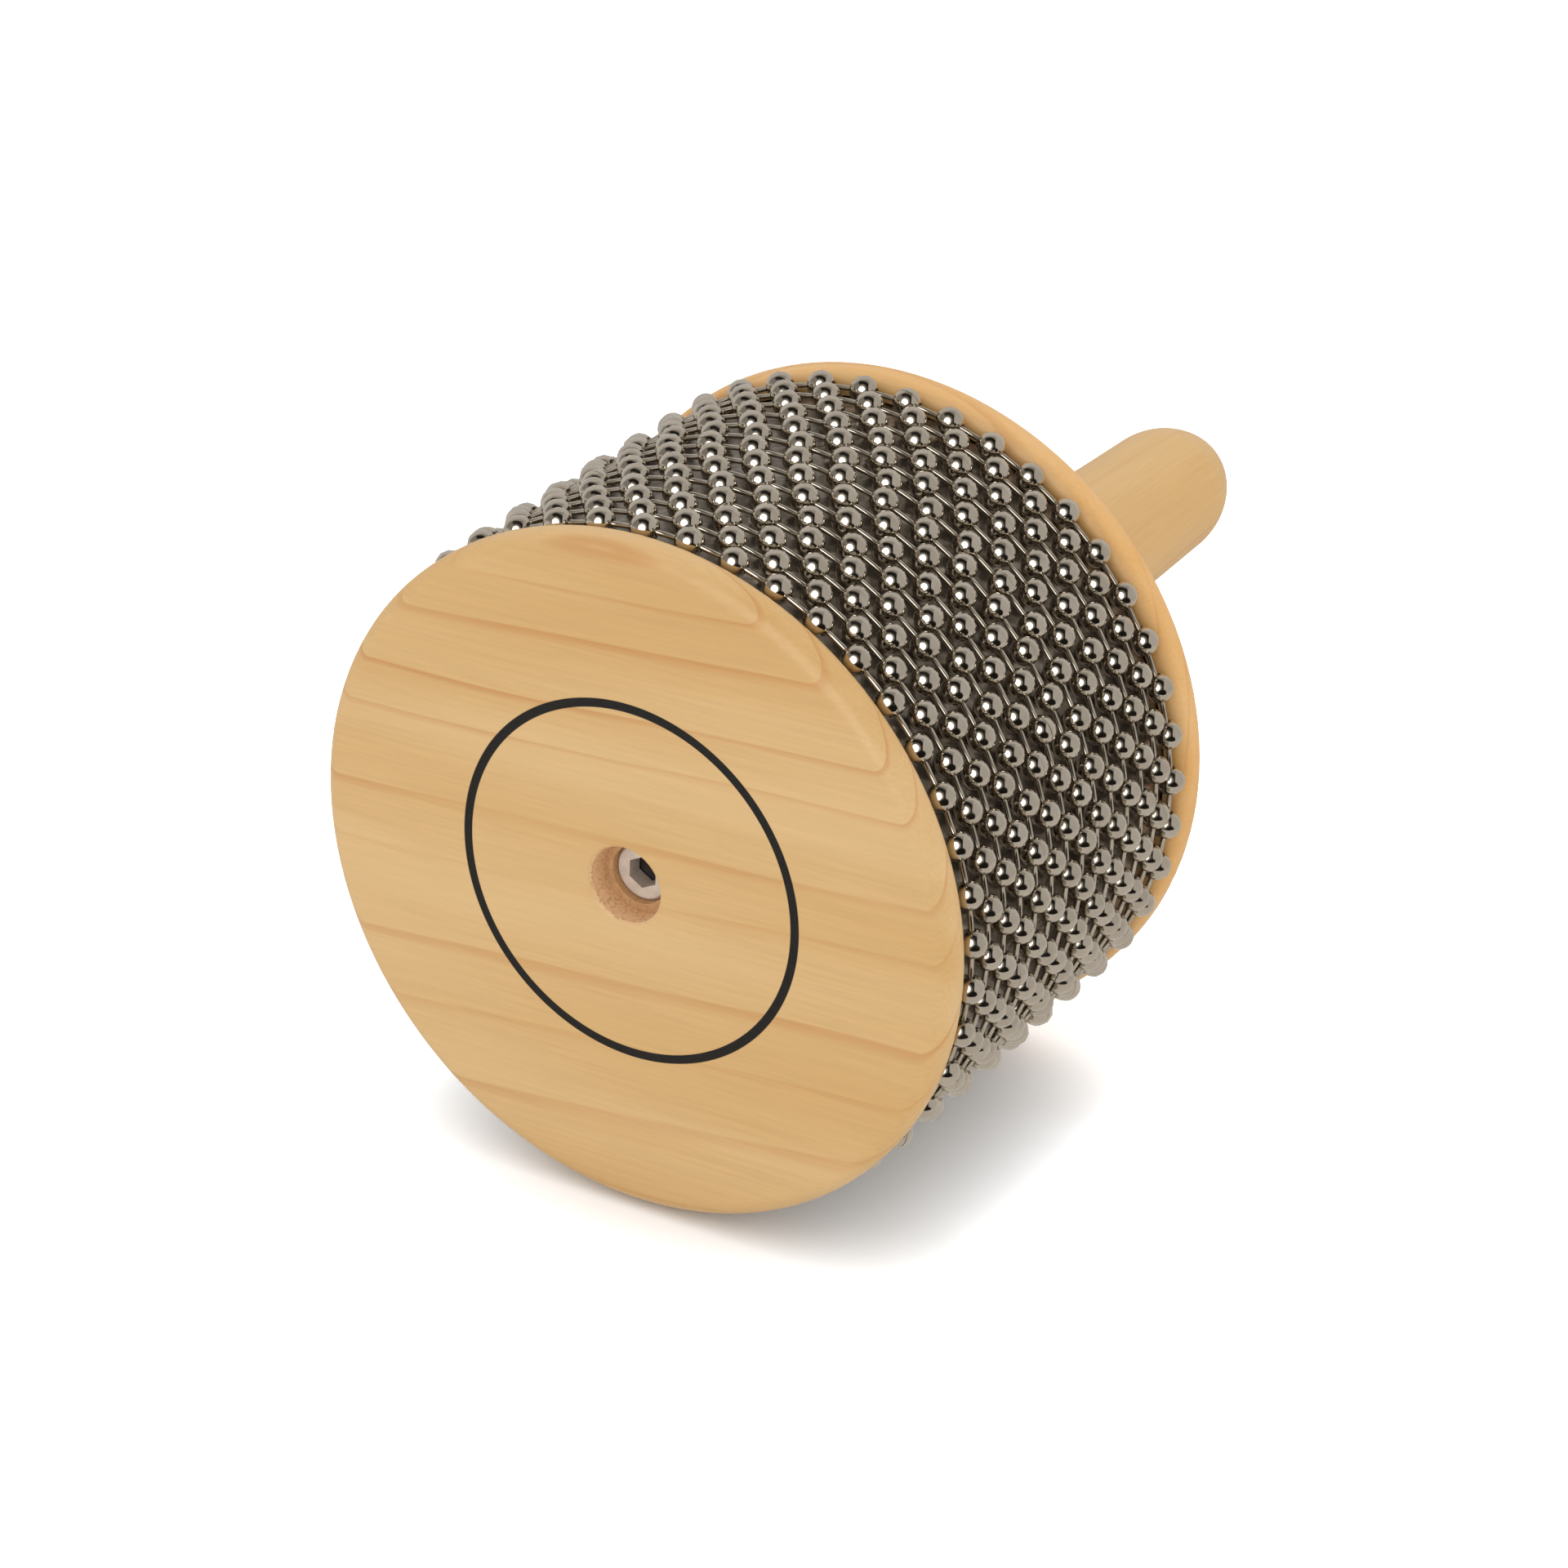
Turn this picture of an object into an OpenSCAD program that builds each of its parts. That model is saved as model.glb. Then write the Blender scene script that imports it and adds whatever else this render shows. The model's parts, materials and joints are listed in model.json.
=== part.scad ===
// Cabasa lying on its side: two wooden discs, a drum wrapped in rows of bead chain, and a handle.
// The drum's axis runs along Y, the front disc faces -Y, and the beads lie on the plane z = 0.
// Every piece is drawn upright, with the front face at z = 0, and laid down at the end.

/* [Discs] */
// Diameter of the two end discs
disc_d = 114; // [100:1:130]
// Thickness of each end disc
disc_t = 7; // [6:0.5:12]
// Radius of the rounding on the discs' edges
disc_edge_r = 3; // [1:0.5:5]
// Depth of the recess in each disc that the core and the sleeve sit in
recess_depth = 2.8; // [1.5:0.1:4]

/* [Core and sleeve] */
// Wall of the stainless sleeve
sleeve_t = 0.6; // [0.4:0.1:1.5]
// Running gap between the sleeve and the beads
sleeve_gap = 0.3; // [0.2:0.05:0.8]
// Gap between two wooden or pressed pieces that fit each other
fit_gap = 0.1; // [0.05:0.05:0.2]

/* [Bead rows] */
// Number of loops of chain side by side
rows = 14; // [8:1:18]
// Diameter of a bead
bead_d = 4.76; // [4:0.1:5.5]
// Wall of a hollow bead
bead_wall = 0.4; // [0.25:0.05:0.5]
// Width of the seam where the rolled bead closes
bead_seam = 0.08; // [0.05:0.01:0.2]
// Distance from bead to bead along a loop
bead_pitch = 7.94; // [7:0.05:9]
// Gap between the beads of two loops side by side
row_gap = 0.08; // [0.06:0.01:0.3]
// Gap between the first or last loop and its disc
end_gap = 0.25; // [0.15:0.05:0.8]
// How far the beads stand out beyond the rims of the discs
rim_rise = 1; // [0.2:0.1:1.5]

/* [Chain links] */
// Diameter of the rod between two beads
rod_d = 0.9; // [0.7:0.05:1]
// Play of the rod in a bead's hole, across
rod_play = 0.6; // [0.5:0.05:0.7]
// How much wider the rod's round head is than the bead's hole
head_grip = 0.3; // [0.2:0.05:0.4]
// Play of the head inside the bead
head_play = 0.2; // [0.18:0.02:0.3]

/* [Bolt] */
// Diameter of the hole in the front disc that a hex key reaches through
key_hole_d = 12.7; // [11.5:0.1:15]
// Radius of the rounding round that hole's mouth
mouth_r = 0.6; // [0.3:0.1:1.2]
// Depth of the bolt's head below the front face
head_depth = 5.1; // [4.8:0.1:8]
// Diameter of the bolt's shank
bolt_d = 6.35; // [6:0.05:6.6]
// Length of the bolt under its head
bolt_len = 88.9; // [84:0.1:94]
// Diameter of the bolt's head
bolt_head_d = 9.53; // [9:0.05:10.3]
// Room round the bolt's head in the wood, across
head_room = 0.3; // [0.2:0.05:0.6]
// Height of the bolt's head
bolt_head_h = 6.35; // [6:0.05:8]
// Width across the flats of the hex socket
socket_af = 4.76; // [4:0.02:5.5]
// Depth of the hex socket
socket_depth = 3; // [2.5:0.1:4]
// Angle at which the hex socket came to rest
socket_turn = 33; // [0:1:59]
// Thickness of the split lock washer
washer_t = 2; // [1.2:0.1:3]
// Width of the split in the lock washer
washer_split = 1; // [0.5:0.1:2]
// Room round the shank in the wood, across
bolt_room = 0.9; // [0.5:0.1:1.2]

/* [Threaded insert] */
// Outer diameter of the insert in the handle
insert_d = 11; // [9:0.1:13]
// Length of the insert
insert_len = 25; // [18:0.5:30]
// Depth of the pilot hole beyond the insert
pilot_extra = 6; // [4:0.5:12]
// Gap between the bolt and the insert
thread_gap = 0.05; // [0.02:0.01:0.1]

/* [Handle] */
// Length of the handle behind the rear disc
handle_len = 106; // [80:1:130]
// Diameter of the handle where it meets the rear disc
handle_root_d = 26.4; // [24:0.2:32]
// Diameter of the handle where its rounded end starts
handle_tip_d = 23.2; // [20:0.2:24]
// Length of the straight stretch next to the rear disc
grip_len = 30; // [20:1:40]
// Length of the rounded end
tip_len = 14.2; // [12.5:0.1:16]
// Radius of the shoulder that leads into the rounded end
shoulder_r = 20; // [17:0.5:30]
// Bevel round the handle's flat end
handle_bevel = 0.8; // [0.4:0.1:2]

/* [Hidden] */
$fn = 96;
small_fn = 24;
hex_sides = 6;
full_turn = 360;
half_turn = full_turn / 2;
cut_over = 1;

disc_r = disc_d / 2;
axis_h = disc_r + rim_rise;
edge_r = min(disc_edge_r, disc_t / 2);

bead_r = bead_d / 2;
cavity_r = bead_r - bead_wall;
row_r = axis_h - bead_r;
row_step = bead_d + row_gap;
beads_per_row = round(half_turn / asin(bead_pitch / (2 * row_r)));
bead_turn = full_turn / beads_per_row;
seam_turn = 2 * asin(bead_seam / bead_d);
// Where each loop has come to rest, as a share of the turn from bead to bead
row_rest_shares = [0.78, 0.33, 0.84, 0.33, 0.95, 0.43, 0.96, 0.52, 0.22, 0.72, 0.29, 0.77, 0.31, 0.82];
// Share of a full turn by which each bead's seam is turned against the last one
seam_step_share = 0.382;

clear_len = rows * bead_d + (rows - 1) * row_gap + 2 * end_gap;
drum_len = clear_len + 2 * disc_t;
first_row_z = disc_t + end_gap + bead_r;

sleeve_r = row_r - bead_r - sleeve_gap;
core_r = sleeve_r - sleeve_t - fit_gap;
core_z = disc_t - recess_depth;
core_len = clear_len + 2 * recess_depth;

hole_r = (rod_d + rod_play) / 2;
head_r = hole_r + head_grip / 2;
chord = 2 * row_r * sin(bead_turn / 2);
hole_rim_z = sqrt(pow(cavity_r, 2) - pow(hole_r, 2));
head_seat = hole_rim_z - sqrt(pow(head_r + head_play, 2) - pow(hole_r, 2));
link_len = chord - 2 * head_seat;

shank_z = head_depth + bolt_head_h;
counterbore_z = shank_z + washer_t;
bolt_hole_r = (bolt_d + bolt_room) / 2;
head_bevel = bolt_head_d / 24;
washer_hole_d = bolt_d + bolt_room / 2;
insert_bore_len = insert_len + pilot_extra;

root_r = handle_root_d / 2;
tip_r = handle_tip_d / 2;
taper_end = handle_len - tip_len;
taper_a = atan((root_r - tip_r) / (taper_end - grip_len));
taper_top_r = tip_r - (tip_len + cut_over) * tan(taper_a);
// The arcs cross at a small angle where they meet, so that the outline has no doubled edge
cross_a = 1.5;
nose_turn = 4 * cross_a;
shoulder_x = tip_r - shoulder_r * cos(taper_a + cross_a);
shoulder_z = taper_end - shoulder_r * sin(taper_a + cross_a);
shoulder_from = taper_end - shoulder_r * sin(cross_a);
tip_rise = handle_len - shoulder_z;
touch_r = (pow(shoulder_r, 2) - pow(shoulder_x, 2) - pow(tip_rise, 2)) / (2 * (shoulder_r - tip_rise));
touch_a = atan2(tip_rise - touch_r, -shoulder_x);
nose_from = shoulder_z + shoulder_r * sin(touch_a);
meet_x = shoulder_x + shoulder_r * cos(touch_a + nose_turn);
meet_drop = tip_rise - shoulder_r * sin(touch_a + nose_turn);
nose_r = (pow(meet_x, 2) + pow(meet_drop, 2)) / (2 * meet_drop);
nose_z = handle_len - nose_r;

total_len = drum_len + handle_len;

function two_digits(n) = n < 10 ? str("0", n) : str(n);
function bead_node(n) = str("bead_row_", two_digits(n));
function link_node(n) = str("link_row_", two_digits(n));
function rest_turn(n) = bead_turn * row_rest_shares[(n - 1) % len(row_rest_shares)];

// Lays a piece that is drawn upright on its side and centres it over the origin
module lay_down() {
    translate([0, -total_len / 2, axis_h]) rotate([-90, 0, 0]) children();
}

// Cuts a profile off at a distance from the axis, so that it can be turned
module outside_of(r, size) {
    difference() {
        children();
        translate([r - 2 * size, -2 * size]) square([2 * size, 4 * size]);
    }
}

// A disc's profile with both edges rounded
module disc_profile() {
    square([disc_r - edge_r, disc_t]);
    translate([0, edge_r]) square([disc_r, disc_t - 2 * edge_r]);
    for (z = [edge_r, disc_t - edge_r]) translate([disc_r - edge_r, z]) circle(r = edge_r);
}

// A disc's profile with its recess towards +Z and a hole through it
module recessed_profile(bore_r) {
    difference() {
        disc_profile();
        translate([0, disc_t - recess_depth]) square([sleeve_r + fit_gap, recess_depth + cut_over]);
        translate([0, -cut_over]) square([bore_r, disc_t + 2 * cut_over]);
    }
}

module front_disc() {
    color("burlywood") lay_down() rotate_extrude() {
        difference() {
            recessed_profile(key_hole_d / 2);
            translate([0, -cut_over]) square([key_hole_d / 2 + mouth_r, mouth_r + cut_over]);
        }
        translate([key_hole_d / 2 + mouth_r, mouth_r]) circle(r = mouth_r);
    }
}

module rear_disc() {
    color("burlywood") lay_down() translate([0, 0, drum_len]) mirror([0, 0, 1])
        rotate_extrude() recessed_profile(bolt_hole_r);
}

// Wooden cylinder with the bolt's stepped hole through it
module drum_core() {
    color("tan") lay_down() translate([0, 0, core_z]) rotate_extrude() difference() {
        square([core_r, core_len]);
        translate([0, -cut_over])
            square([(bolt_head_d + head_room) / 2, counterbore_z - core_z + cut_over]);
        square([bolt_hole_r, core_len + cut_over]);
    }
}

module textured_sleeve() {
    color("gray") lay_down() translate([0, 0, core_z]) rotate_extrude()
        translate([sleeve_r - sleeve_t, 0]) square([sleeve_t, core_len]);
}

// Half of the handle's outline: straight grip and taper, cut by a shoulder arc and a round nose
module handle_profile() {
    intersection() {
        polygon([
            [0, 0], [root_r - handle_bevel, 0], [root_r, handle_bevel], [root_r, grip_len],
            [taper_top_r, handle_len + cut_over], [0, handle_len + cut_over]]);
        union() {
            square([handle_root_d, shoulder_from]);
            translate([shoulder_x, shoulder_z]) circle(r = shoulder_r);
        }
        union() {
            square([handle_root_d, nose_from]);
            translate([0, nose_z]) circle(r = nose_r);
        }
    }
}

module handle() {
    color("burlywood") lay_down() translate([0, 0, drum_len]) rotate_extrude() difference() {
        handle_profile();
        translate([0, -cut_over]) square([insert_d / 2 + fit_gap, insert_len + cut_over]);
        square([bolt_hole_r, insert_bore_len]);
    }
}

// Socket-head bolt: its head sits in the core and its shank ends in the handle
module through_bolt() {
    color("silver") lay_down() difference() {
        translate([0, 0, head_depth]) rotate_extrude() polygon([
            [0, 0], [bolt_head_d / 2 - head_bevel, 0], [bolt_head_d / 2, head_bevel],
            [bolt_head_d / 2, bolt_head_h], [bolt_d / 2, bolt_head_h],
            [bolt_d / 2, bolt_head_h + bolt_len - head_bevel],
            [bolt_d / 2 - head_bevel, bolt_head_h + bolt_len], [0, bolt_head_h + bolt_len]]);
        translate([0, 0, head_depth - cut_over]) rotate([0, 0, socket_turn])
            cylinder(h = socket_depth + cut_over, d = socket_af / cos(half_turn / hex_sides),
                $fn = hex_sides);
    }
}

// Split ring under the bolt's head
module lock_washer() {
    color("silver") lay_down() translate([0, 0, shank_z])
        rotate_extrude(angle = full_turn - 2 * asin(washer_split / bolt_head_d))
            translate([washer_hole_d / 2, 0]) square([(bolt_head_d - washer_hole_d) / 2, washer_t]);
}

module threaded_insert() {
    color("goldenrod") lay_down() translate([0, 0, drum_len]) rotate_extrude()
        translate([bolt_d / 2 + thread_gap, 0])
            square([(insert_d - bolt_d) / 2 - thread_gap, insert_len]);
}

// Hollow bead on the Z axis, rolled from strip: a hole at each pole and an open seam down one side
module bead() {
    rotate_extrude(angle = full_turn - seam_turn, $fn = small_fn) outside_of(hole_r, bead_d)
        difference() {
            circle(r = bead_r);
            circle(r = cavity_r);
        }
}

// Rod on the Z axis with a round head at each end, centred
module link() {
    rotate_extrude($fn = small_fn) outside_of(0, chord) {
        for (z = [-link_len / 2, link_len / 2]) translate([0, z]) circle(r = head_r);
        translate([0, -link_len / 2]) square([rod_d / 2, link_len]);
    }
}

// Places a bead or a link round the drum at an angle, at a radius from the axis and along the loop
module on_loop(n, angle, r) {
    lay_down() translate([0, 0, first_row_z + (n - 1) * row_step])
        rotate([0, 0, rest_turn(n) + angle]) translate([r, 0, 0]) rotate([90, 0, 0]) children();
}

// The beads of one loop, each with its seam turned to another side
module bead_row(n) {
    color("silver") for (i = [0:beads_per_row - 1])
        on_loop(n, i * bead_turn, row_r)
            rotate([0, 0, full_turn * seam_step_share * (i + n)]) bead();
}

// The links of one loop, each with its two heads inside neighbouring beads
module link_row(n) {
    color("gray") for (i = [0:beads_per_row - 1])
        on_loop(n, (i + 1 / 2) * bead_turn, row_r * cos(bead_turn / 2)) link();
}

front_disc();
rear_disc();
drum_core();
textured_sleeve();
handle();
through_bolt();
lock_washer();
threaded_insert();
for (n = [1:rows]) {
    bead_row(n);
    link_row(n);
}
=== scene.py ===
"""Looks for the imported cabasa: a wooden drum between two discs, wrapped in loops of bead chain.

Lengths are in metres where Blender reads them and in millimetres in the classes below. The
frame is the CAD's: the drum's axis along +Y, the front disc towards -Y, +Z up.
"""

import json
import logging
import math
from dataclasses import dataclass
from enum import Enum
from typing import NamedTuple

import bpy
import numpy as np
from mathutils import Matrix, Vector

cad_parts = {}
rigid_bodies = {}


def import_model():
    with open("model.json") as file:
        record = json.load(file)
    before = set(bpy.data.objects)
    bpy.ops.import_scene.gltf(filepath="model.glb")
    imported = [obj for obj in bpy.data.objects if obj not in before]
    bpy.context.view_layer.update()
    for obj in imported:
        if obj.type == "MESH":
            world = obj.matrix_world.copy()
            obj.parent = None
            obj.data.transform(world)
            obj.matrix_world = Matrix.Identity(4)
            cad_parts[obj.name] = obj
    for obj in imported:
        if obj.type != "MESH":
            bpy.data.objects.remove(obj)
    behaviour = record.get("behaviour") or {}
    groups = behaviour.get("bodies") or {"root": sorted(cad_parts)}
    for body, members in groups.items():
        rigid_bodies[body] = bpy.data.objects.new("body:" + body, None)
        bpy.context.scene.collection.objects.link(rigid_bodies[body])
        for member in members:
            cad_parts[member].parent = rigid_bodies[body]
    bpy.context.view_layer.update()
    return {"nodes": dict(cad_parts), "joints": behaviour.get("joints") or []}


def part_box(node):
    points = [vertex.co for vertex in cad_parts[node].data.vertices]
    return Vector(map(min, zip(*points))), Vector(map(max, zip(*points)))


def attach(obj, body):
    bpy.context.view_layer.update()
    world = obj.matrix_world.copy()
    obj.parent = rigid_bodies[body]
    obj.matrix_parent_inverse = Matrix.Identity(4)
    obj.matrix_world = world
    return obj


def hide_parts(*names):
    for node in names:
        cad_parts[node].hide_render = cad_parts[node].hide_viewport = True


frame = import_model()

LOG = logging.getLogger("cabasa")
MM = 0.001
PER_METRE = 1000.0
FULL_TURN = 2 * math.pi
SHORTEST = 1e-12
AXIS = np.array([0.0, 1.0, 0.0])

Tree = bpy.types.NodeTree
Socket = bpy.types.NodeSocket
Links = dict[str | int, object]
Pair = tuple[float, float]
Direction = tuple[float, float, float]


def linear(code: str) -> tuple[float, float, float, float]:
    """Turns an sRGB hex colour into the linear colour that Blender's sockets hold.

    Args:
        code: Six hex digits after a #.

    Returns:
        Red, green, blue and an alpha of one.
    """
    shares = np.array([int(code[i : i + 2], 16) for i in (1, 3, 5)]) / 255
    low, high = shares / 12.92, ((shares + 0.055) / 1.055) ** 2.4
    return (*(float(v) for v in np.where(shares <= 0.04045, low, high)), 1.0)


def add_node(
    tree: Tree, kind: str, inputs: Links | None = None, **settings: object
) -> bpy.types.Node:
    """Adds one node to a tree.

    Args:
        tree: The node tree.
        kind: Blender's name of the node's type.
        inputs: For each input socket, the output socket that feeds it or its constant.
        **settings: The node's own properties.

    Returns:
        The new node.
    """
    node = tree.nodes.new(kind)
    for key, value in settings.items():
        setattr(node, key, value)
    for key, value in (inputs or {}).items():
        if isinstance(value, bpy.types.NodeSocket):
            tree.links.new(value, node.inputs[key])
        else:
            node.inputs[key].default_value = value
    return node


def calculate(tree: Tree, operation: str, *values: Socket | float) -> Socket:
    """Adds a Math node.

    Args:
        tree: The node tree.
        operation: Blender's name of the operation.
        *values: Its operands in order, linked or constant.

    Returns:
        The result's socket.
    """
    return add_node(
        tree, "ShaderNodeMath", dict(enumerate(values)), operation=operation
    ).outputs[0]


def length(tree: Tree, vector: Socket) -> Socket:
    """Adds a node that measures a vector.

    Args:
        tree: The node tree.
        vector: The vector's socket.

    Returns:
        The length's socket.
    """
    node = add_node(tree, "ShaderNodeVectorMath", {0: vector}, operation="LENGTH")
    return node.outputs["Value"]


def remap(
    tree: Tree, value: Socket, start: Pair, end: Pair = (0.0, 1.0), curve: str = "LINEAR"
) -> Socket:
    """Adds a node that maps one range to another and stops at its limits.

    Args:
        tree: The node tree.
        value: What is mapped.
        start: The values that give the two results.
        end: The two results.
        curve: Blender's name of the curve between them.

    Returns:
        The result's socket.
    """
    return add_node(tree, "ShaderNodeMapRange", {
        "Value": value, "From Min": start[0], "From Max": start[1],
        "To Min": end[0], "To Max": end[1]}, interpolation_type=curve).outputs[0]


def mix(
    tree: Tree, share: Socket | float, first: Socket | str, second: Socket | str,
    blend: str = "MIX",
) -> Socket:
    """Adds a node that mixes two colours.

    Args:
        tree: The node tree.
        share: The second colour's share, from 0 to 1.
        first: A socket or an sRGB hex colour.
        second: A socket or an sRGB hex colour.
        blend: Blender's name of the way of mixing.

    Returns:
        The mixed colour's socket.
    """
    sides = (linear(side) if isinstance(side, str) else side for side in (first, second))
    return add_node(
        tree, "ShaderNodeMix", {"Factor": share, **dict(zip((6, 7), sides))},
        data_type="RGBA", blend_type=blend).outputs[2]


def noise(tree: Tree, coords: Socket, spot_mm: float, detail: float = 2.0) -> Socket:
    """Adds soft noise whose spots have a real size.

    Args:
        tree: The node tree.
        coords: Object coordinates in metres.
        spot_mm: A spot's size.
        detail: How many finer layers lie over it.

    Returns:
        The noise's socket, whose values lie round 0.5.
    """
    return add_node(tree, "ShaderNodeTexNoise", {
        "Vector": coords, "Scale": PER_METRE / spot_mm, "Detail": detail}).outputs["Fac"]


def start_material(name: str) -> tuple[bpy.types.Material, Tree, Socket]:
    """Makes an empty material.

    Args:
        name: The real material's name.

    Returns:
        The material, its node tree and the Object coordinates' socket.
    """
    material = bpy.data.materials.new(name)
    material.use_nodes = True
    tree = material.node_tree
    tree.nodes.clear()
    coords = add_node(tree, "ShaderNodeTexCoord")
    return material, tree, coords.outputs["Object"]


def end_material(tree: Tree, inputs: Links) -> None:
    """Closes a material with one Principled shader.

    Args:
        tree: The node tree.
        inputs: The shader's sockets, linked or constant.
    """
    shader = add_node(tree, "ShaderNodeBsdfPrincipled", inputs)
    add_node(tree, "ShaderNodeOutputMaterial", {"Surface": shader.outputs["BSDF"]})


def dress(obj: bpy.types.Object, material: bpy.types.Material) -> None:
    """Gives an object one material, whatever slots it came with.

    Args:
        obj: The object.
        material: Its material.
    """
    obj.data.materials.clear()
    obj.data.materials.append(material)


def make_piece(
    name: str, points: np.ndarray, faces: list[np.ndarray], normals: np.ndarray | None = None
) -> bpy.types.Object:
    """Puts computed arrays into a mesh object at the origin.

    Args:
        name: The piece's name.
        points: Vertices in millimetres, one row each.
        faces: Arrays of vertex numbers, one row a face.
        normals: A normal for every corner, in the faces' order, or None for smooth shading.

    Returns:
        The new object.
    """
    mesh = bpy.data.meshes.new(name)
    rows = [row for block in faces for row in block.tolist()]
    mesh.from_pydata((points * MM).tolist(), [], rows)
    mesh.polygons.foreach_set("use_smooth", np.ones(len(rows), bool))
    if normals is not None:
        mesh.normals_split_custom_set(normals)
    mesh.update()
    obj = bpy.data.objects.new(name, mesh)
    bpy.context.scene.collection.objects.link(obj)
    return obj


def capped_tube(rows: int, cols: int) -> tuple[np.ndarray, np.ndarray]:
    """Numbers the faces of a closed tube.

    Point r * cols + c is number c on ring r. The two points after the last ring are the
    middles of the first ring's cap and of the last ring's.

    Args:
        rows: How many rings it has.
        cols: How many points a ring has.

    Returns:
        The four-sided faces between the rings, and the three-sided ones of the caps.
    """
    r, c = np.meshgrid(np.arange(rows - 1), np.arange(cols), indexing="ij")
    after = (c + 1) % cols
    quads = np.stack([
        r * cols + c, (r + 1) * cols + c, (r + 1) * cols + after, r * cols + after], axis=-1)
    ring = np.arange(cols)
    ahead, last = (ring + 1) % cols, (rows - 1) * cols
    middle = np.full(cols, rows * cols)
    first_cap = np.stack([middle, ring, ahead], axis=1)
    last_cap = np.stack([middle + 1, last + ahead, last + ring], axis=1)
    return quads.reshape(-1, 4), np.concatenate([first_cap, last_cap])


def make_copies(
    name: str, points: np.ndarray, quads: np.ndarray, tris: np.ndarray,
    normals: np.ndarray | None = None,
) -> bpy.types.Object:
    """Makes one piece of many shapes whose faces are numbered alike.

    Args:
        name: The piece's name.
        points: Shapes by points by coordinates, in millimetres.
        quads: One shape's four-sided faces.
        tris: One shape's three-sided faces.
        normals: A normal for every corner, all quads' first, or None for smooth shading.

    Returns:
        The new object.
    """
    start = (np.arange(len(points)) * points.shape[1])[:, None, None]
    faces = [(quads + start).reshape(-1, 4), (tris + start).reshape(-1, 3)]
    return make_piece(name, points.reshape(-1, 3), faces, normals)


def face_normals(corners: np.ndarray) -> np.ndarray:
    """Flat normals, from a four-sided face's diagonals or a three-sided one's first edges.

    Args:
        corners: Faces by corners by coordinates.

    Returns:
        The faces' unit normals, repeated for each corner.
    """
    count = corners.shape[1]
    tips = (2, 3) if count == 4 else (1, 2)
    feet = (0, 1) if count == 4 else (0, 0)
    one, other = (corners[:, tip] - corners[:, foot] for tip, foot in zip(tips, feet))
    across = np.cross(one, other)
    unit = across / np.maximum(np.linalg.norm(across, axis=1, keepdims=True), SHORTEST)
    return np.repeat(unit[:, None, :], count, axis=1)


class Cut(Enum):
    """Which way a piece's wood fibres run, as turns about X, Y and Z that bring them to X."""

    ALONG_X = (math.radians(-26), math.radians(1.5), 0.0)
    ALONG_X_FLAT = (math.radians(38), math.radians(-2.5), 0.0)
    ALONG_Y = (0.0, 0.0, math.radians(-90))


class Room(Enum):
    """Tones of the room that metal and lacquer mirror."""

    FAR = "#A7A29B"
    DARK = "#1E1B18"
    GLOW = "#B5B0A9"
    LEFT_WALL = "#8F8A84"
    RIGHT_WALL = "#C4C0BB"
    BACKDROP = "#CFCCC8"
    TABLE = "#DEDAD4"
    WHITE = "#FFFFFF"


class Patch(NamedTuple):
    """A soft round patch of the mirrored room, faded by the cosine of the angle from way."""

    way: Direction
    fade: Pair
    tone: Room


class Streak(NamedTuple):
    """Noise stretched along the fibres: a spot's length and width, and its finer layers."""

    long_mm: float
    wide_mm: float
    detail: float


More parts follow.
